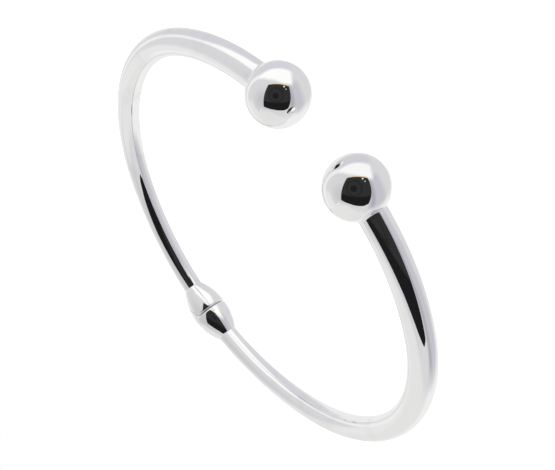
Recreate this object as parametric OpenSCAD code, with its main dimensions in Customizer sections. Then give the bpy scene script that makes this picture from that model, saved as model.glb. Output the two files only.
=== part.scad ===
// Hinged torque bangle: two round-wire arms with ball ends, joined at the back
// by an olive-shaped hinge on an upright pin. It lies on its side: the wrist
// passes through along Z, the hinge is at the back (+Y), the mouth in front.

/* [Arms] */
// Diameter of the round wire that both arms are bent from
tube_d = 3.8; // [3.4:0.1:4.4]
// Bend radius of the back of each arm, next to the hinge
back_r = 36.4; // [34:0.1:40]
// Angle that the back bend turns through
back_arc = 48; // [46:0.5:50]
// Bend radius of the side of each arm, which is a quarter turn
side_r = 26.3; // [25:0.1:28]
// Bend radius of the front of each arm
front_r = 34.8; // [32:0.1:36]
// Angle that the front bend turns through, up to the ball's centre
front_arc = 33; // [30:0.5:35]

/* [Ball ends] */
// Diameter of the ball soldered to the end of each arm
ball_d = 8; // [7:0.5:10]

/* [Hinge olive] */
// Largest diameter of the olive, at its seam
olive_d = 7; // [6.6:0.1:7.6]
// Length of each half of the olive, from the seam to its shoulder
olive_half = 6; // [5.5:0.1:7]
// Radius of the olive's long curve, from the seam to the shoulder
olive_curve_r = 12; // [12:0.5:18]
// Radius of the rounded shoulder where the olive meets the wire
shoulder_r = 0.5; // [0.4:0.1:0.6]

/* [Hinge pin and knuckles] */
// Diameter of the hinge pin
pin_d = 1.6; // [1.2:0.1:2]
// Distance of the pin from the olive's middle, towards the back
pin_offset = 1.1; // [0.9:0.1:1.4]
// Height of the right arm's knuckle, between the left arm's two ears
knuckle_h = 2.4; // [2:0.1:3]
// Angle that the right arm is swung open by, 0 when the bangle is shut
open_angle = 0; // [0:1:35]

/* [Clearances] */
// Seam between the two halves of the olive when the bangle is shut
seam_gap = 0.12; // [0.1:0.02:0.2]
// Space round and between the knuckles
knuckle_gap = 0.12; // [0.1:0.02:0.16]
// Radial play of the pin in the right arm's knuckle
pin_play = 0.05; // [0.02:0.01:0.08]
// Radial play of the pin in the left arm's ears, where it is held
pin_hold = 0.02; // [0.01:0.01:0.03]

/* [Hidden] */
$fn = 96;

tube_r = tube_d / 2;
ball_r = ball_d / 2;
olive_r = olive_d / 2;
pin_r = pin_d / 2;

// The right arm in the bangle's plane, with the hinge at [0, 0]. Each bend's
// centre lies on the line through the last bend's centre and its end.
function dir(a) = [cos(a), sin(a)];
side_c = [0, -back_r] + (back_r - side_r) * dir(90 - back_arc);
front_c = side_c + (side_r - front_r) * dir(-back_arc);
ball_c = front_c + front_r * dir(-back_arc - front_arc);

// Each half of the olive lies along the chord of the wire inside it
olive_tilt = asin(olive_half / (2 * back_r));
curve_drop = olive_curve_r - olive_r;
seam_reach = sqrt(pow(curve_drop * cos(olive_tilt), 2) + pow(olive_curve_r, 2) - pow(curve_drop, 2))
    - curve_drop * cos(olive_tilt);

// Where the shoulder's small circle touches the long curve from inside
shoulder_a = asin((olive_half - shoulder_r) / (olive_curve_r - shoulder_r));
shoulder_c = [(olive_curve_r - shoulder_r) * cos(shoulder_a) - curve_drop, olive_half - shoulder_r];

// The knuckles are round about the pin and end flush with the olive's back
knuckle_r = seam_reach - pin_offset;

// The origin is under the middle of the bangle, which rests on its balls
hinge_y = (ball_r - ball_c[1] - seam_reach) / 2;
hinge_at = [0, hinge_y, ball_r];
over = 2 * olive_d;

// A bend of wire about the Z axis, from the +X axis towards the +Y axis
module bend(r, angle) {
    rotate_extrude(angle = angle)
        translate([r, 0])
            circle(r = tube_r);
}

// The right arm's wire and ball, with the hinge at [0, 0, 0], laid out from
// the side bend's centre. The wire starts inside the olive, past the knuckles.
module wire() {
    inside_olive = 2 * asin((olive_half - shoulder_r) / (2 * back_r));
    translate([side_c[0], side_c[1], 0])
        rotate([0, 0, -back_arc]) {
            translate([0, side_r - back_r, 0])
                rotate([0, 0, 90])
                    bend(back_r, back_arc - inside_olive);
            bend(side_r, 90);
            translate([side_r - front_r, 0, 0])
                mirror([0, 1, 0])
                    bend(front_r, front_arc);
        }
    translate([ball_c[0], ball_c[1], 0])
        rotate([0, 0, 180])
            sphere(r = ball_r);
}

// Half outline of the olive: X is the radius, Y runs along its axis from
// a little behind the seam to the shoulder
module olive_outline() {
    back = -olive_half / 2;
    far = olive_curve_r + shoulder_r;
    intersection() {
        translate([-curve_drop, 0])
            circle(r = olive_curve_r);
        polygon([[0, back], [olive_d, back], [olive_d, 0],
            [far * cos(shoulder_a) - curve_drop, far * sin(shoulder_a)],
            shoulder_c, [0, shoulder_c[1]]]);
    }
    translate(shoulder_c)
        circle(r = shoulder_r);
    translate([0, shoulder_c[1] - shoulder_r])
        square([shoulder_c[0], 2 * shoulder_r]);
}

// The half of the olive on the +X side of the seam plane, from x = start
module olive_half_form(start) {
    intersection() {
        rotate([0, 0, -olive_tilt])
            rotate([0, 90, 0])
                rotate_extrude()
                    olive_outline();
        translate([start, -over, -over])
            cube(2 * over);
    }
}

module olive() {
    olive_half_form(0);
    mirror([1, 0, 0])
        olive_half_form(0);
}

// An upright cylinder round the pin's line, from z = low to z = high
module round_pin(r, low, high) {
    translate([0, pin_offset, low])
        cylinder(r = r, h = high - low);
}

// A knuckle: the olive's own form, kept only near the pin's line
module knuckle(low, high) {
    intersection() {
        olive();
        round_pin(knuckle_r, low, high);
    }
}

// Right arm: wire, ball and half olive, with the one knuckle in the middle
module right_arm_form() {
    room = knuckle_h / 2;
    difference() {
        union() {
            wire();
            difference() {
                olive_half_form(seam_gap);
                round_pin(knuckle_r + knuckle_gap, room, over);
                round_pin(knuckle_r + knuckle_gap, -over, -room);
            }
            knuckle(-room, room);
        }
        round_pin(pin_r + pin_play, -over, over);
    }
}

// Left arm: wire, ball and half olive, with an ear above and an ear below
module left_arm_form() {
    room = knuckle_h / 2 + knuckle_gap;
    difference() {
        union() {
            mirror([1, 0, 0]) {
                wire();
                olive_half_form(0);
            }
            knuckle(room, over);
            knuckle(-over, -room);
        }
        round_pin(knuckle_r + knuckle_gap, -room, room);
        round_pin(pin_r + pin_hold, -over, over);
    }
}

module left_arm() {
    color("silver")
        translate(hinge_at)
            left_arm_form();
}

module right_arm() {
    color("silver")
        translate(hinge_at + [0, pin_offset, 0])
            rotate([0, 0, open_angle])
                translate([0, -pin_offset, 0])
                    right_arm_form();
}

// The pin is held in the left arm's ears, its ends filed flush with the olive
module hinge_pin() {
    color("gainsboro")
        translate(hinge_at)
            intersection() {
                olive();
                round_pin(pin_r, -over, over);
            }
}

left_arm();
right_arm();
hinge_pin();
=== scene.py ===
"""Looks of the hinged torque bangle: polished silver arms, ball ends and olive hinge."""

import logging
from dataclasses import dataclass, field
from enum import Enum
from math import asin, cos, degrees, hypot, pi, prod, radians, sin, sqrt, tan
from typing import Any

import bpy
from mathutils import Matrix, Vector


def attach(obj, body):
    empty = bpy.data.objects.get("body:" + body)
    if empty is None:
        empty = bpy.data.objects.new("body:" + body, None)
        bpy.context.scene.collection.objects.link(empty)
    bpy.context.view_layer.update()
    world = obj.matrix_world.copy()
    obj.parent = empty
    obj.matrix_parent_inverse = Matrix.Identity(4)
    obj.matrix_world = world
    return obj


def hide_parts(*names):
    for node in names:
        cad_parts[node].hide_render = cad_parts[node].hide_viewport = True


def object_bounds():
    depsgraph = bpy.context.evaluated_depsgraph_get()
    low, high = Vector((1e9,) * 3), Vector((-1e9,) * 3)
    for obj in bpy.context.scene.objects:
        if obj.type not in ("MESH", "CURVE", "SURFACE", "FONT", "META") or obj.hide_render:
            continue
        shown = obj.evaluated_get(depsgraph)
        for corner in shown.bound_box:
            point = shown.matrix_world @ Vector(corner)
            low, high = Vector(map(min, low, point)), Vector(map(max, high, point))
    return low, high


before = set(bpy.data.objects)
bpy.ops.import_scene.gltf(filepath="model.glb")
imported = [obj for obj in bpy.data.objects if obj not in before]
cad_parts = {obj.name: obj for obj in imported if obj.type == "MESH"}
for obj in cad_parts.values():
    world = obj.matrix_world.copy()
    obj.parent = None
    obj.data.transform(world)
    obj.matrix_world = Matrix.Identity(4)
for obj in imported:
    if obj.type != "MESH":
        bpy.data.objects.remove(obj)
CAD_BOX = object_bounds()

MM = 0.001
LOG = logging.getLogger("bangle")

Colour = tuple[float, float, float]
Axes = tuple[float, float, float]
Corner = tuple[float, float]
Outline = tuple[Corner, ...]
Rings = list[tuple[float, float]]


def opaque(colour: Colour) -> tuple[float, ...]:
    """Gives the colour with full alpha."""
    return (*colour, 1.0)


def sides_of(outline: Outline) -> list[tuple[Corner, Corner]]:
    """Gives an outline's sides, each as the corner that it leaves and the next one."""
    return list(zip(outline, outline[1:] + outline[:1]))


class Arm(Enum):
    """The two arms, each with the side of the seam that it lies on."""

    LEFT = -1
    RIGHT = 1


class Cut(Enum):
    """What a Boolean does with the tool's solid."""

    AWAY = "DIFFERENCE"
    JOIN = "UNION"
    SHARE = "INTERSECT"


class Ink(Enum):
    """The inks of the flags."""

    BLACK = "black"
    AMBER = "amber"
    LIGHT = "light"


class Sock:
    """A shader socket that Python's operators work on by adding Math nodes."""

    def __init__(self, tree: "ShaderTree", socket: bpy.types.NodeSocket) -> None:
        """Keeps the socket with the tree that its Math nodes go into."""
        self.tree = tree
        self.socket = socket

    def math(self, operation: str, *values: Any) -> "Sock":
        """Adds a Math node for the values, numbers or sockets, and gives its result."""
        return self.tree.add("ShaderNodeMath", {"operation": operation}, dict(enumerate(values)))

    def __add__(self, other: Any) -> "Sock":
        """Sum."""
        return self.math("ADD", self, other)

    def __radd__(self, other: Any) -> "Sock":
        """Sum with a number on the left."""
        return self.math("ADD", other, self)

    def __sub__(self, other: Any) -> "Sock":
        """Difference."""
        return self.math("SUBTRACT", self, other)

    def __rsub__(self, other: Any) -> "Sock":
        """Difference from a number on the left."""
        return self.math("SUBTRACT", other, self)

    def __mul__(self, other: Any) -> "Sock":
        """Product."""
        return self.math("MULTIPLY", self, other)

    def __rmul__(self, other: Any) -> "Sock":
        """Product with a number on the left."""
        return self.math("MULTIPLY", other, self)

    def ramp(self, zero: float, one: float) -> "Sock":
        """Rises smoothly from 0 to 1, or falls where one is lower than zero.

        Args:
            zero: the value at which the result is 0.
            one: the value at which the result is 1.

        Returns:
            The result, which stays at 0 and 1 outside the two.
        """
        sockets = {"Value": self, "From Min": zero, "From Max": one}
        if zero > one:
            sockets = {"Value": self, "From Min": one, "From Max": zero, "To Min": 1, "To Max": 0}
        settings = {"interpolation_type": "SMOOTHSTEP"}
        return self.tree.add("ShaderNodeMapRange", settings, sockets)


class ShaderTree:
    """The emptied node tree of one material or world, and the one way that nodes get into it."""

    def __init__(self, owner: bpy.types.Material | bpy.types.World) -> None:
        """Turns the owner's nodes on and clears them.

        Args:
            owner: the material or world.
        """
        owner.use_nodes = True
        self.nodes = owner.node_tree.nodes
        self.links = owner.node_tree.links
        self.nodes.clear()

    def add(
        self,
        kind: str,
        settings: dict[str, Any] | None = None,
        sockets: dict[str | int, Any] | None = None,
        output: str | int = 0,
    ) -> Sock:
        """Adds a node.

        Args:
            kind: the node's type.
            settings: its properties, which are set first.
            sockets: the value or link of each input, by name or number.
            output: the output that is returned, by name or number.

        Returns:
            That output, or the node's first input where it has no output.
        """
        node = self.nodes.new(kind)
        for name, value in (settings or {}).items():
            setattr(node, name, value)
        for name, value in (sockets or {}).items():
            if isinstance(value, Sock):
                self.links.new(value.socket, node.inputs[name])
            else:
                node.inputs[name].default_value = value
        return Sock(self, node.outputs[output] if node.outputs else node.inputs[0])

    def mix(self, mask: Sock, first: Any, second: Any, label: str = "") -> Sock:
        """Goes from the first colour to the second as mask goes from 0 to 1."""
        # The node's colour sockets are its inputs 6 and 7 and its output 2.
        settings = {"data_type": "RGBA", "label": label}
        return self.add("ShaderNodeMix", settings, {0: mask, 6: first, 7: second}, 2)

    def split(self, vector: Sock) -> tuple[Sock, Sock, Sock]:
        """Takes a vector apart.

        Args:
            vector: the vector.

        Returns:
            Its x, y and z.
        """
        parts = self.add("ShaderNodeSeparateXYZ", None, {"Vector": vector})
        x, y, z = (Sock(self, output) for output in parts.socket.node.outputs)
        return x, y, z


@dataclass(frozen=True)
class Finish:
    """What every finish shares: it makes one material out of the surface that its kind gives."""

    name: str

    def build(self) -> bpy.types.Material:
        """Makes the material.

        Returns:
            The material, with the finish's surface on its output.
        """
        material = bpy.data.materials.new(self.name)
        tree = ShaderTree(material)
        tree.add("ShaderNodeOutputMaterial", None, {"Surface": self.surface(tree)})
        return material

    def surface(self, tree: ShaderTree) -> Sock:
        """Stands for the shader, which each kind of finish builds in the tree."""
        raise NotImplementedError


@dataclass(frozen=True)
class SilverFinish(Finish):
    """Mirror-polished silver with faint buffing lines and a little haze."""

    name: str = "polished_silver"
    bright: Colour = (0.955, 0.955, 0.955)
    hazy: Colour = (0.9, 0.9, 0.905)
    mirror: float = 0.025
    haze_starts: float = 0.52
    haze_full: float = 0.78
    haze_roughness: float = 0.025
    ripple_per_m: float = 260.0
    ripple_detail: float = 2.0
    ripple_depth: float = 0.0016 * MM
    line_per_m: float = 5200.0
    line_detail: float = 3.0
    line_stretch: Axes = (1.0, 1.0, 0.12)
    line_lean: Axes = (0.5, 0.35, 0.2)
    line_starts: float = 0.45
    line_full: float = 0.8
    line_roughness: float = 0.02
    line_share: float = 0.02

    def surface(self, tree: ShaderTree) -> Sock:
        """Builds the metal.

        Args:
            tree: the material's tree.

        Returns:
            The metal's shader.
        """
        place = tree.add("ShaderNodeTexCoord", None, None, "Object")
        ripple = tree.add(
            "ShaderNodeTexNoise",
            None,
            {"Vector": place, "Scale": self.ripple_per_m, "Detail": self.ripple_detail},
        )
        stretched = tree.add(
            "ShaderNodeMapping",
            None,
            {"Vector": place, "Scale": self.line_stretch, "Rotation": self.line_lean},
        )
        lines = tree.add(
            "ShaderNodeTexNoise",
            None,
            {"Vector": stretched, "Scale": self.line_per_m, "Detail": self.line_detail},
        )
        haze = ripple.ramp(self.haze_starts, self.haze_full)
        buffed = lines.ramp(self.line_starts, self.line_full)
        colour = tree.mix(haze, opaque(self.bright), opaque(self.hazy))
        roughness = self.mirror + haze * self.haze_roughness + buffed * self.line_roughness
        height = ripple + lines * self.line_share
        relief = tree.add(
            "ShaderNodeBump",
            None,
            {"Strength": 1.0, "Distance": self.ripple_depth, "Height": height},
        )
        return tree.add(
            "ShaderNodeBsdfPrincipled",
            None,
            {"Base Color": colour, "Metallic": 1.0, "Roughness": roughness, "Normal": relief},
        )


@dataclass(frozen=True)
class FloorFinish(Finish):
    """White card that is lit almost to plain white, so the bangle stands on a clean ground."""

    name: str = "white_card"
    white: Colour = (0.82, 0.82, 0.82)
    glow_colour: Colour = (1.0, 1.0, 1.0)
    glow: float = 0.62

    def surface(self, tree: ShaderTree) -> Sock:
        """Builds the card.

        Args:
            tree: the material's tree.

        Returns:
            The card's shader.
        """
        return tree.add(
            "ShaderNodeBsdfPrincipled",
            None,
            {
                "Base Color": opaque(self.white),
                "Roughness": 1.0,
                "Emission Color": opaque(self.glow_colour),
                "Emission Strength": self.glow,
            },
        )


@dataclass(frozen=True)
class FlagFinish(Finish):
    """Dull card of one colour."""

    colour: Colour

    def surface(self, tree: ShaderTree) -> Sock:
        """Builds the card's shader, which keeps its colour whatever the light."""
        return tree.add("ShaderNodeEmission", None, {"Color": self.paint(tree), "Strength": 1.0})

    def paint(self, tree: ShaderTree) -> Any:
        """Gives the card's one colour."""
        return opaque(self.colour)


@dataclass(frozen=True)
class PaintedFlagFinish(FlagFinish):
    """Dull card with a dark box painted on it, which has a black pupil in a grooved barrel."""

    lens_at: Vector
    upwards: Vector
    box_colour: Colour = (0.030, 0.030, 0.031)
    box_drop: float = 33 * MM
    blur: float = 3 * MM
    pupil: float = 11 * MM
    pupil_dark: float = 0.9
    barrel: float = 25 * MM
    groove: float = 9 * MM
    groove_dark: float = 0.5

    def paint(self, tree: ShaderTree) -> Sock:
        """Paints the box above its lower edge, and leaves the lens's pupil and groove dark.

        Args:
            tree: the material's tree.

        Returns:
            The card's colour.
        """
        place = tree.add("ShaderNodeTexCoord", None, None, "Object")
        away = tree.add(
            "ShaderNodeVectorMath",
            {"operation": "DISTANCE"},
            {0: place, 1: self.lens_at},
            "Value",
        )
        height = tree.add(
            "ShaderNodeVectorMath",
            {"operation": "DOT_PRODUCT"},
            {0: place, 1: self.upwards},
            "Value",
        )
        edge = self.lens_at.dot(self.upwards) - self.box_drop
        box = height.ramp(edge - self.blur, edge + self.blur)
        pupil = away.ramp(self.pupil + self.blur, self.pupil)
        rim = self.barrel + self.groove
        past_barrel = away.ramp(self.barrel, self.barrel + self.blur)
        groove = past_barrel * away.ramp(rim, rim - self.blur)
        lit = box - pupil * self.pupil_dark - groove * self.groove_dark
        return tree.mix(lit, opaque(self.colour), opaque(self.box_colour))


class Bench:
    """The modelling habits that every piece shares."""

    DISC_SIDES = 160

    @staticmethod
    def clear() -> None:
        """Leaves edit mode and selects nothing."""
        if bpy.context.object and bpy.context.object.mode != "OBJECT":
            bpy.ops.object.mode_set(mode="OBJECT")
        bpy.ops.object.select_all(action="DESELECT")

    @classmethod
    def take(cls, piece: bpy.types.Object, editing: bool = False) -> None:
        """Makes the piece the only selected one.

        Args:
            piece: the piece.
            editing: whether all of its mesh is opened for editing.
        """
        cls.clear()
        bpy.context.view_layer.objects.active = piece
        piece.select_set(True)
        if editing:
            bpy.ops.object.mode_set(mode="EDIT")
            bpy.ops.mesh.select_all(action="SELECT")

    @classmethod
    def named(cls, name: str) -> bpy.types.Object:
        """Names the new primitive and puts its place into its mesh.

        Args:
            name: its name.

        Returns:
            The primitive, whose object now lies at the origin.
        """
        piece = bpy.context.object
        piece.name = name
        cls.take(piece)
        bpy.ops.object.transform_apply(location=True, rotation=True, scale=True)
        return piece

    @classmethod
    def copy(cls, piece: bpy.types.Object, name: str) -> bpy.types.Object:
        """Copies the piece.

        Args:
            piece: the piece.
            name: the copy's name.

        Returns:
            The copy, which has a mesh of its own.
        """
        cls.take(piece)
        bpy.ops.object.duplicate()
        twin = bpy.context.object
        twin.name = name
        twin.data.name = name
        return twin

    @classmethod
    def cut(cls, piece: bpy.types.Object, tool: bpy.types.Object, how: Cut) -> None:
        """Cuts the piece with the tool, and throws the tool away.

        Args:
            piece: the piece.
            tool: the tool's solid.
            how: what the cut does with it.
        """
        cls.take(piece)
        step = piece.modifiers.new("cut", "BOOLEAN")
        step.operation = how.value
        step.solver = "EXACT"
        step.object = tool
        bpy.ops.object.modifier_apply(modifier=step.name)
        bpy.data.objects.remove(tool)

    @classmethod
    def close_up(cls, piece: bpy.types.Object, merge: float) -> None:
        """Merges doubled points and turns every face outwards.

        Args:
            piece: the piece.
            merge: how near two points are to become one.
        """
        cls.take(piece, editing=True)
        bpy.ops.mesh.remove_doubles(threshold=merge)
        bpy.ops.mesh.normals_make_consistent(inside=False)
        cls.clear()

    @classmethod
    def ring(
        cls, name: str, middle: Vector, radius: float, tilt: float, sides: int
    ) -> bpy.types.Object:
        """Makes a ring to draw a round shape out of.

        Args:
            name: its name.
            middle: its middle.
            radius: its radius.
            tilt: how far its axis turns away from X, about Z and to the right.
            sides: how many points it has.

        Returns:
            The ring, opened for editing.
        """
        cls.clear()
        bpy.ops.mesh.primitive_circle_add(
            vertices=sides, radius=radius, location=middle, rotation=(0, pi / 2, -tilt)
        )
        ring = cls.named(name)
        cls.take(ring, editing=True)
        return ring

    @classmethod
    def disc(
        cls, name: str, middle: Vector, radius: float, low: float, high: float
    ) -> bpy.types.Object:
        """Makes an upright round tool.

        Args:
            name: its name.
            middle: a point on its axis.
            radius: its radius.
            low: the height of its lower face.
            high: the height of its upper face.

        Returns:
            The tool.
        """
        cls.clear()
        bpy.ops.mesh.primitive_cylinder_add(
            vertices=cls.DISC_SIDES,
            radius=radius,
            depth=high - low,
            location=(middle.x, middle.y, (low + high) / 2),
        )
        return cls.named(name)

    @classmethod
    def block(cls, name: str, low: Vector, high: Vector) -> bpy.types.Object:
        """Makes a square tool.

        Args:
            name: its name.
            low: its lowest corner.
            high: its highest corner.

        Returns:
            The tool.
        """
        cls.clear()
        bpy.ops.mesh.primitive_cube_add(size=1, location=(low + high) / 2, scale=high - low)
        return cls.named(name)


@dataclass
class BangleForm:
    """The whole bangle in one closed skin, before the hinge is sawn.

    The overlap by which the olive starts past its middle is a share of its radius, and the
    steps count the rings of each stretch.
    """

    wire_radius: float = 1.9 * MM
    back_radius: float = 36.4 * MM
    back_turn: float = radians(48)
    side_radius: float = 26.3 * MM
    side_turn: float = radians(90)
    front_radius: float = 34.8 * MM
    front_turn: float = radians(33)
    ball_radius: float = 4 * MM
    ball_stop: float = radians(178.4)
    olive_radius: float = 3.5 * MM
    olive_half: float = 6 * MM
    olive_curve: float = 12 * MM
    olive_overlap: float = 0.12
    shoulder: float = 0.5 * MM
    solder: float = 0.22 * MM
    lead_in: float = radians(0.5)
    lead_out: float = 0.3 * MM
    sides: int = 128
    olive_steps: int = 44
    shoulder_steps: int = 8
    back_steps: int = 44
    side_steps: int = 76
    front_steps: int = 34
    join_steps: int = 2
    solder_steps: int = 5
    ball_steps: int = 60
    on_plane: float = 0.00001 * MM
    mirror_merge: float = 0.0001 * MM
    merge: float = 0.0002 * MM
    hinge: Vector = field(init=False)
    tilt: float = field(init=False)

    def __post_init__(self) -> None:
        """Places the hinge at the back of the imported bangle, half way up."""
        low, high = CAD_BOX
        depth = self.ball_end(Vector((0, 0, 0))).y
        front = low[1] + self.ball_radius
        self.hinge = Vector((0, front - depth, (low[2] + high[2]) / 2))
        self.tilt = asin(self.olive_half / 2 / self.back_radius)

    @staticmethod
    def heading(turn: float) -> Vector:
        """Gives the direction of the right arm after it has turned by so much."""
        return Vector((cos(turn), -sin(turn), 0))

    @staticmethod
    def outwards(turn: float) -> Vector:
        """Gives the direction from the bend's centre to the right arm after so much turn."""
        return Vector((sin(turn), cos(turn), 0))

    def bend_centres(self, hinge: Vector) -> list[Vector]:
        """Works out the centres of the right arm's bends.

        Args:
            hinge: the hinge's middle.

        Returns:
            The centres of the back, side and front bends.
        """
        back = hinge - Vector((0, self.back_radius, 0))
        turn = self.back_turn
        side = back + (self.back_radius - self.side_radius) * self.outwards(turn)
        turn += self.side_turn
        front = side + (self.side_radius - self.front_radius) * self.outwards(turn)
        return [back, side, front]

    def ball_end(self, hinge: Vector) -> Vector:
        """Gives the middle of the right arm's ball, where the hinge's middle is as given."""
        turn = self.back_turn + self.side_turn + self.front_turn
        return self.bend_centres(hinge)[2] + self.front_radius * self.outwards(turn)

    def olive_reach(self, along: float) -> float:
        """Gives the olive's radius at a distance along its axis."""
        return sqrt(self.olive_curve**2 - along**2) - (self.olive_curve - self.olive_radius)

    def olive_rings(self) -> Rings:
        """Works out the rings of the half olive, from a little past its middle to the wire.

        Returns:
            Each ring's place along the olive's axis, and its radius.
        """
        drop = self.olive_curve - self.olive_radius
        inner = self.olive_curve - self.shoulder
        shoulder_at = self.olive_half - self.shoulder
        shoulder_low = sqrt(inner**2 - shoulder_at**2) - drop
        start = asin(shoulder_at / inner)
        stop = pi / 2 - asin((self.wire_radius - shoulder_low) / self.shoulder)
        first = -self.olive_overlap * self.olive_radius
        span = self.olive_curve * sin(start) - first
        rings = []
        for k in range(self.olive_steps + 1):
            place = first + span * k / self.olive_steps
            rings.append((place, self.olive_reach(place)))
        for k in range(1, self.shoulder_steps + 1):
            angle = start + (stop - start) * k / self.shoulder_steps
            place = shoulder_at + self.shoulder * sin(angle)
            rings.append((place, shoulder_low + self.shoulder * cos(angle)))
        return rings

    def ball_rings(self) -> Rings:
        """Works out the rings of the ball, from the solder at the wire outwards.

        Returns:
            Each ring's place along the ball's axis, from its middle, and its radius.
        """
        reach = self.ball_radius + self.solder
        lift = self.wire_radius + self.solder
        start = asin(lift / reach)
        solder_at = reach * cos(start)
        rings = []
        for k in range(self.solder_steps):
            angle = (pi / 2 - start) * k / self.solder_steps
            place = solder_at - self.solder * sin(angle)
            rings.append((place, lift - self.solder * cos(angle)))
        for k in range(self.ball_steps + 1):
            angle = start + (self.ball_stop - start) * k / self.ball_steps
            rings.append((self.ball_radius * cos(angle), self.ball_radius * sin(angle)))
        return rings

    @staticmethod
    def draw_out(origin: Vector, way: Vector, rings: Rings) -> None:
        """Extrudes the selected ring from place to place, and scales it to each radius.

        Args:
            origin: the point that the places are counted from.
            way: the direction that they are counted in.
            rings: each ring's place and radius, the first one the selected ring's own.
        """
        place, radius = rings[0]
        for next_place, next_radius in rings[1:]:
            step = way * (next_place - place)
            bpy.ops.mesh.extrude_region_move(TRANSFORM_OT_translate={"value": step})
            size = next_radius / radius
            middle = origin + way * next_place
            bpy.ops.transform.resize(value=(size, size, size), center_override=middle)
            place, radius = next_place, next_radius

    @staticmethod
    def bend(centre: Vector, turn: float, steps: int) -> None:
        """Spins the selected ring to the right about an upright axis."""
        bpy.ops.mesh.spin(steps=steps, angle=turn, center=centre, axis=(0, 0, 1))

    @staticmethod
    def turning_point(start: Vector, stop: Vector, turn: float) -> Vector:
        """Works out the centre of a right turn that takes one place to another.

        Args:
            start: the first place.
            stop: the second place.
            turn: the angle between the two.

        Returns:
            The centre.
        """
        half = (stop - start) / 2
        side = Vector((half.y, -half.x, 0))
        return start + half + side / tan(turn / 2)

    def draw_wire(self, start: Vector) -> None:
        """Spins the olive's last ring through the back and side bends.

        Args:
            start: the ring's middle.
        """
        back, side, _ = self.bend_centres(self.hinge)
        # The olive lies along a chord of the back bend, so a short bend leads from its axis in.
        lead = 2 * self.tilt + self.lead_in
        turn = lead - self.tilt
        stop = back + self.back_radius * self.outwards(lead)
        self.bend(self.turning_point(start, stop, turn), turn, self.join_steps)
        self.bend(back, self.back_turn - lead, self.back_steps)
        self.bend(side, self.side_turn, self.side_steps)

    def draw_ball(self) -> None:
        """Spins the ring through the front bend, draws the ball out of it and closes it."""
        front = self.bend_centres(self.hinge)[2]
        middle = self.ball_end(self.hinge)
        rings = self.ball_rings()
        whole = self.back_turn + self.side_turn + self.front_turn
        short = (rings[0][0] + self.lead_out) / self.front_radius
        self.bend(front, self.front_turn - short, self.front_steps)
        # The ball's axis points at its middle, so a short bend leads from the wire's end to it.
        last = front + self.front_radius * self.outwards(whole - short)
        ball_turn = whole - short / 2
        way = self.heading(ball_turn)
        turn = ball_turn - (whole - short)
        first = middle - way * rings[0][0]
        self.bend(self.turning_point(last, first, turn), turn, self.join_steps)
        self.draw_out(middle, -way, rings)
        bpy.ops.mesh.edge_face_add()
        bpy.ops.mesh.poke()

    def mirror(self, half: bpy.types.Object) -> None:
        """Trims the right half at the hinge's middle and adds the left one.

        Args:
            half: the right half, opened for editing.
        """
        bpy.ops.mesh.select_all(action="SELECT")
        bpy.ops.mesh.bisect(
            plane_co=self.hinge, plane_no=(1, 0, 0), clear_inner=True, threshold=self.on_plane
        )
        Bench.take(half)
        twin = half.modifiers.new("other half", "MIRROR")
        twin.merge_threshold = self.mirror_merge
        bpy.ops.object.modifier_apply(modifier=twin.name)
        Bench.close_up(half, self.merge)

    def build(self, name: str) -> bpy.types.Object:
        """Models the right half from a ring, closes it and mirrors it.

        Args:
            name: the object's name.

        Returns:
            The closed skin of both halves.
        """
        rings = self.olive_rings()
        way = self.heading(self.tilt)
        first = self.hinge + way * rings[0][0]
        half = Bench.ring(name, first, rings[0][1], self.tilt, self.sides)
        self.draw_out(self.hinge, way, rings)
        self.draw_wire(self.hinge + way * rings[-1][0])
        self.draw_ball()
        self.mirror(half)
        return half


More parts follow.
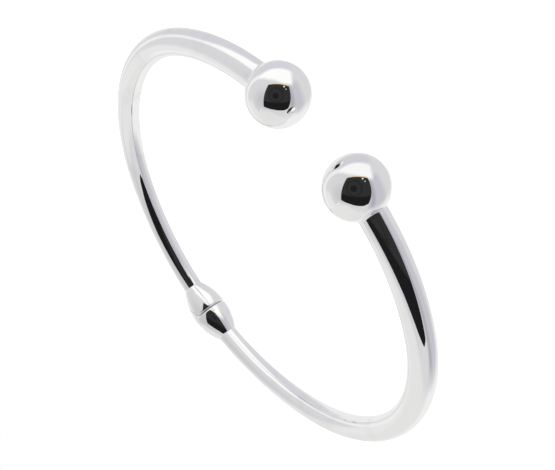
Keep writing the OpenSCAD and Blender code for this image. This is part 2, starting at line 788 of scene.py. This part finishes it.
@dataclass
class HingedBangle:
    """The sawn bangle: two arms that meet in the olive, and the pin through its knuckles."""

    form: BangleForm
    seam: float = 0.06 * MM
    knuckle: float = 2.4 * MM
    knuckle_gap: float = 0.12 * MM
    pin_offset: float = 1.1 * MM
    pin_radius: float = 0.8 * MM
    pin_hold: float = 0.02 * MM
    play: float = 0.05 * MM
    rim: float = 0.4 * MM
    rim_steps: int = 12
    crisp: float = radians(28)
    beyond: float = MM
    plug_merge: float = 0.0001 * MM
    merge: float = 0.0005 * MM
    pin: Vector = field(init=False)
    knuckle_radius: float = field(init=False)

    def __post_init__(self) -> None:
        """Works the pin's place and the knuckles' radius out of the olive."""
        self.pin = self.form.hinge + Vector((0, self.pin_offset, 0))
        seam_reach = self.form.olive_radius / cos(self.form.tilt)
        self.knuckle_radius = seam_reach - self.pin_offset

    def seam_plug(self, side: Arm) -> bpy.types.Object:
        """Makes the solid that the saw leaves: one flat seam face with its rounded rim.

        Args:
            side: the arm that the face belongs to.

        Returns:
            The solid.
        """
        face = self.seam if side is Arm.RIGHT else 0.0
        # The olive's axis is tilted, so at the rim's depth its skin is further out on one side.
        along = face + self.rim
        lean = self.form.olive_radius * tan(self.form.tilt)
        inner = self.form.olive_reach(along + lean) / cos(self.form.tilt)
        outer = self.form.olive_reach(along - lean) / cos(self.form.tilt)
        radius = (inner + outer) / 2
        drift = (outer - inner) / 2 - along * tan(self.form.tilt)
        flat = radius - self.rim
        rings = []
        for k in range(self.rim_steps + 1):
            angle = pi / 2 * k / self.rim_steps
            rings.append((self.rim * (1 - cos(angle)), flat + self.rim * sin(angle)))
        rings.append((2 * self.rim, radius + self.rim))
        start = self.form.hinge + Vector((face, 0, 0))
        plug = Bench.ring("plug", start, flat, 0.0, self.form.sides)
        self.form.draw_out(start, Vector((side.value, drift / self.rim, 0)), rings)
        bpy.ops.mesh.select_all(action="SELECT")
        bpy.ops.mesh.fill_holes(sides=0)
        Bench.close_up(plug, self.plug_merge)
        return plug

    def saw(self, side: Arm) -> bpy.types.Object:
        """Makes the solid that is sawn off the whole to leave one arm.

        Args:
            side: the arm that is left.

        Returns:
            The tool: the other arm's half with its knuckles' room, less this arm's own knuckles.
        """
        low, high = (Vector(corner) for corner in CAD_BOX)
        middle = self.form.hinge.z
        inner = self.knuckle / 2
        outer = inner + self.knuckle_gap
        top = high.z + self.beyond
        bottom = low.z - self.beyond
        margin = Vector((0, self.beyond, self.beyond))
        # The right arm has the middle knuckle, and the left arm the two ears round it.
        if side is Arm.RIGHT:
            corner = Vector((self.seam + self.rim, high.y, high.z)) + margin
            tool = Bench.block("saw", low - Vector((self.beyond,) * 3), corner)
            own = [(middle - inner, middle + inner)]
            rooms = [(middle + inner, top), (bottom, middle - inner)]
        else:
            corner = Vector((-self.rim, low.y, low.z)) - margin
            tool = Bench.block("saw", corner, high + Vector((self.beyond,) * 3))
            own = [(middle + outer, top + self.beyond), (bottom - self.beyond, middle - outer)]
            rooms = [(middle - outer, middle + outer)]
        Bench.cut(tool, self.seam_plug(side), Cut.AWAY)
        for start, stop in own:
            knuckle = Bench.disc("knuckle", self.pin, self.knuckle_radius, start, stop)
            Bench.cut(tool, knuckle, Cut.AWAY)
        for start, stop in rooms:
            room = Bench.disc("room", self.pin, self.knuckle_radius + self.seam, start, stop)
            Bench.cut(tool, room, Cut.JOIN)
        return tool

    def rod(self, name: str, radius: float) -> bpy.types.Object:
        """Makes a round bar on the pin's axis that stands out above and below the bangle."""
        low, high = CAD_BOX
        return Bench.disc(name, self.pin, radius, low[2] - self.beyond, high[2] + self.beyond)

    def clean(self, piece: bpy.types.Object) -> None:
        """Joins the piece's cut edges and shades it smooth between its crisp ones.

        Args:
            piece: the piece.
        """
        Bench.close_up(piece, self.merge)
        Bench.take(piece)
        bpy.ops.object.shade_smooth_by_angle(angle=self.crisp)

    def arm(self, whole: bpy.types.Object, side: Arm) -> bpy.types.Object:
        """Saws one arm out of the whole, and bores it for the pin.

        Args:
            whole: the whole bangle's skin.
            side: the arm.

        Returns:
            The arm.
        """
        piece = Bench.copy(whole, f"{side.name.lower()}_arm_silver")
        Bench.cut(piece, self.saw(side), Cut.AWAY)
        room = self.play if side is Arm.RIGHT else self.pin_hold
        Bench.cut(piece, self.rod("bore", self.pin_radius + room), Cut.AWAY)
        self.clean(piece)
        return piece

    def hinge_pin(self, whole: bpy.types.Object) -> bpy.types.Object:
        """Makes the pin, its ends filed flush with the olive.

        Args:
            whole: the whole bangle's skin.

        Returns:
            The pin.
        """
        piece = self.rod("hinge_pin_silver", self.pin_radius)
        Bench.cut(piece, Bench.copy(whole, "olive"), Cut.SHARE)
        self.clean(piece)
        return piece

    def build(self) -> list[bpy.types.Object]:
        """Builds, dresses and mounts the three pieces.

        Returns:
            The left arm, the right arm and the pin.
        """
        whole = self.form.build("whole")
        silver = SilverFinish().build()
        duller = SilverFinish(name="pin_silver", bright=(0.9, 0.9, 0.905), mirror=0.06)
        pin_silver = duller.build()
        left = self.arm(whole, Arm.LEFT)
        right = self.arm(whole, Arm.RIGHT)
        pin = self.hinge_pin(whole)
        bpy.data.objects.remove(whole)
        rows = [
            (left, "left_arm", "left_body", silver, "polished_silver"),
            (right, "right_arm", "right_body", silver, "polished_silver"),
            (pin, "hinge_pin", "left_body", pin_silver, "pin_silver"),
        ]
        for piece, node, body, material, slot in rows:
            piece.data.materials.clear()
            piece.data.materials.append(material)
            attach(piece, body)
            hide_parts(node)
        return [left, right, pin]


@dataclass(frozen=True)
class Panel:
    """A soft-edged patch of the light dome, seen from the bangle.

    Its corners are azimuths and elevations in degrees, anticlockwise. Azimuth 0 is the mouth's
    side, -Y, and 90 is -X. Its soft edge is in degrees too.
    """

    colour: Colour
    corners: Outline
    soft: float

    def mask(self, azimuth: Sock, elevation: Sock) -> Sock:
        """Masks the panel out of the dome.

        Args:
            azimuth: the azimuth that is looked in.
            elevation: the elevation that is looked in.

        Returns:
            1 inside the panel and 0 outside.
        """
        edges = []
        for (start_a, start_e), (stop_a, stop_e) in sides_of(self.corners):
            length = hypot(stop_a - start_a, stop_e - start_e)
            in_a = (start_e - stop_e) / length
            in_e = (stop_a - start_a) / length
            inside = azimuth * in_a + elevation * in_e - (start_a * in_a + start_e * in_e)
            edges.append(inside.ramp(-self.soft / 2, self.soft / 2))
        return prod(edges[1:], start=edges[0])


PANELS = {
    "back left": Panel(
        (0.83, 0.83, 0.83),
        ((-190, -25), (-136, -25), (-140, 45), (-190, 45)),
        20,
    ),
    "back right": Panel(
        (0.80, 0.805, 0.79),
        ((104, -60), (190, -60), (190, 64), (120, 62)),
        20,
    ),
    "low back left": Panel(
        (0.87, 0.87, 0.865),
        ((-200, -60), (-126, -58), (-108, -34), (-118, -2), (-200, -2)),
        20,
    ),
    "low back right": Panel(
        (0.89, 0.89, 0.885),
        ((129, -58), (200, -74), (200, -2), (104, -2)),
        16,
    ),
    "table left": Panel(
        (0.67, 0.67, 0.715),
        ((-102, -58), (-48, -58), (-48, 4), (-102, 8)),
        16,
    ),
    # Painted shade: the table in front, dimmed to lavender grey where the camera's shadow falls
    # on it, as the metal mirrors it.
    "shaded table front": Panel(
        (0.575, 0.57, 0.62),
        ((10, -46), (102, -50), (104, 2), (2, 2)),
        26,
    ),
    # Painted shade: the darkest strip of the camera's shadow on the table, along the horizon just
    # under the camera.
    "darkest table shade": Panel(
        (0.44, 0.43, 0.465),
        ((12, -12), (96, -12), (96, 4), (12, 4)),
        14,
    ),
    "light strip": Panel(
        (0.90, 0.90, 0.90),
        ((-170, 6), (-66, 10), (-66, 23), (-170, 16)),
        7,
    ),
    "key light": Panel(
        (1.03, 1.03, 1.01),
        ((-82, 16), (-62, -14), (-30, -46), (17, -22), (2, 6), (-50, 26)),
        16,
    ),
}


@dataclass(frozen=True)
class Flag:
    """A card that stands behind the lens and shows in the metal alone.

    Its corners are in millimetres across and up from the lens, anticlockwise.
    """

    name: str
    ink: Ink
    behind: float
    corners: Outline


FLAGS = (
    Flag(
        "low_flag",
        Ink.BLACK,
        0.5 * MM,
        ((-150, -18), (-60, -47), (8, -61), (60, 12), (-75, 95), (-150, 22)),
    ),
    Flag("tall_flag", Ink.BLACK, 0.5 * MM, ((-75, 95), (60, 12), (-25, 190))),
    Flag("amber_edge", Ink.AMBER, 0.8 * MM, ((6, -68), (14, -64), (64, 12), (55, 16))),
    Flag("first_light", Ink.LIGHT, 0.2 * MM, ((13, -41), (19, -41), (19, -35), (13, -35))),
    Flag("second_light", Ink.LIGHT, 0.2 * MM, ((1, -42), (5, -42), (5, -38), (1, -38))),
)


@dataclass
class Studio:
    """The white floor, the soft light all round, the black flags and the camera."""

    dome: Colour = (0.708, 0.708, 0.726)
    zenith: Colour = (0.60, 0.60, 0.61)
    zenith_starts: float = 35.0
    zenith_full: float = 80.0
    ground: Colour = (1.0, 1.0, 1.0)
    look_from: Vector = field(default_factory=lambda: Vector((-18.17, -76.87, 46.06)) * MM)
    look_at: Vector = field(default_factory=lambda: Vector((-2.695, -9.056, 4.0)) * MM)
    roll: float = radians(-121.599)
    lens: float = 36.71
    film: float = 36.0
    nearest: float = 0.002
    farthest: float = 50.0
    floor_size: float = 4.0
    card_size: float = 1.2
    black: Colour = (0.012, 0.012, 0.013)
    amber: Colour = (0.80, 0.64, 0.40)
    light: Colour = (0.85, 0.85, 0.85)
    painted_across: float = 2 * MM
    painted_up: float = 10 * MM
    lamp_at: Vector = field(default_factory=lambda: Vector((0.05, -0.1, 0.5)))
    lamp_size: float = 0.5
    lamp_power: float = 2.6

    def facing(self) -> tuple[Vector, Vector, Vector]:
        """Works out how the camera faces before it is turned.

        Returns:
            The directions across, up and back from it.
        """
        back = (self.look_from - self.look_at).normalized()
        across = Vector((0, 0, 1)).cross(back).normalized()
        return across, back.cross(across), back

    def turned(self) -> Matrix:
        """Gives the directions right, up and back from the camera as it is turned."""
        return Matrix(self.facing()).transposed() @ Matrix.Rotation(self.roll, 3, "Z")

    def camera(self) -> None:
        """Sets the camera at the photograph's angle, which is turned about its own axis."""
        data = bpy.data.cameras.new("camera")
        data.lens = self.lens
        data.sensor_width = self.film
        data.clip_start = self.nearest
        data.clip_end = self.farthest
        camera = bpy.data.objects.new("camera", data)
        bpy.context.collection.objects.link(camera)
        camera.matrix_world = Matrix.Translation(self.look_from) @ self.turned().to_4x4()
        bpy.context.scene.camera = camera

    def floor(self) -> bpy.types.Object:
        """Lays the white floor, which polished metal doesn't mirror.

        Returns:
            The floor.
        """
        Bench.clear()
        bpy.ops.mesh.primitive_plane_add(size=self.floor_size)
        floor = Bench.named("floor")
        floor.data.materials.append(FloorFinish().build())
        floor.visible_glossy = False
        return floor

    def inks(self) -> dict[Ink, bpy.types.Material]:
        """Mixes the inks of the flags.

        Returns:
            The material of each ink. The black one has the box with the lens painted in.
        """
        across, up, _ = self.facing()
        lens_at = self.look_from + across * self.painted_across + up * self.painted_up
        upwards = self.turned().col[1]
        return {
            Ink.BLACK: PaintedFlagFinish("black_flag", self.black, lens_at, upwards).build(),
            Ink.AMBER: FlagFinish("amber_edge", self.amber).build(),
            Ink.LIGHT: FlagFinish("camera_lights", self.light).build(),
        }

    def flag(self, card: Flag, ink: bpy.types.Material) -> bpy.types.Object:
        """Cuts a card to its outline and stands it behind the lens.

        Args:
            card: the card's outline and place.
            ink: its material.

        Returns:
            The flag, which shows in reflections alone.
        """
        across, up, back = self.facing()
        Bench.clear()
        bpy.ops.mesh.primitive_plane_add(size=self.card_size)
        flag = Bench.named(card.name)
        Bench.take(flag, editing=True)
        for (start_x, start_y), (stop_x, stop_y) in sides_of(card.corners):
            bpy.ops.mesh.select_all(action="SELECT")
            corner = (start_x * MM, start_y * MM, 0)
            outwards = Vector((stop_y - start_y, start_x - stop_x, 0)).normalized()
            bpy.ops.mesh.bisect(
                plane_co=corner, plane_no=outwards, clear_outer=True, use_fill=False
            )
        Bench.clear()
        flag.data.transform(Matrix((across, up, back)).transposed().to_4x4())
        flag.data.transform(Matrix.Translation(self.look_from + back * card.behind))
        flag.data.materials.append(ink)
        flag.visible_camera = False
        flag.visible_diffuse = False
        flag.visible_shadow = False
        flag.visible_transmission = False
        return flag

    def lamp(self) -> None:
        """Hangs a wide soft lamp over the bangle, which lights the floor and not the metal."""
        data = bpy.data.lights.new("overhead", "AREA")
        data.shape = "DISK"
        data.size = self.lamp_size
        data.energy = self.lamp_power
        lamp = bpy.data.objects.new("overhead", data)
        bpy.context.collection.objects.link(lamp)
        lamp.location = self.lamp_at
        lamp.rotation_euler = self.lamp_at.to_track_quat("Z", "Y").to_euler()
        lamp.visible_glossy = False

    def surroundings(self) -> None:
        """Paints the light dome and its panels, with plain white past the floor's edge."""
        world = bpy.data.worlds.new("light dome")
        bpy.context.scene.world = world
        tree = ShaderTree(world)
        way = tree.add("ShaderNodeTexCoord", None, None, "Generated")
        x, y, z = tree.split(way)
        per_radian = degrees(1)
        azimuth = x.math("ARCTAN2", x * -1.0, y * -1.0) * per_radian
        elevation = z.math("ARCSINE", z) * per_radian
        high = elevation.ramp(self.zenith_starts, self.zenith_full)
        colour = tree.mix(high, opaque(self.dome), opaque(self.zenith), "zenith")
        for name, panel in PANELS.items():
            mask = panel.mask(azimuth, elevation)
            colour = tree.mix(mask, colour, opaque(panel.colour), name)
        ray = tree.add("ShaderNodeLightPath", None, None, "Is Camera Ray")
        colour = tree.mix(ray, colour, opaque(self.ground), "ground")
        light = tree.add("ShaderNodeBackground", None, {"Color": colour, "Strength": 1.0})
        tree.add("ShaderNodeOutputWorld", None, {"Surface": light})

    def build(self) -> list[bpy.types.Object]:
        """Sets the whole studio up.

        Returns:
            The floor and the flags, which are stage and no part of the bangle.
        """
        settings = bpy.context.scene.view_settings
        settings.view_transform = "Standard"
        settings.look = "None"
        self.camera()
        inks = self.inks()
        stage = [self.floor(), *(self.flag(card, inks[card.ink]) for card in FLAGS)]
        self.lamp()
        self.surroundings()
        return stage


def main() -> None:
    """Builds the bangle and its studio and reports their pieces."""
    logging.basicConfig(level=logging.INFO, format="%(message)s")
    for piece in HingedBangle(BangleForm()).build():
        LOG.info("%s: %d faces", piece.name, len(piece.data.polygons))
    for piece in Studio().build():
        LOG.info("%s: stage", piece.name)


if __name__ == "__main__":
    main()
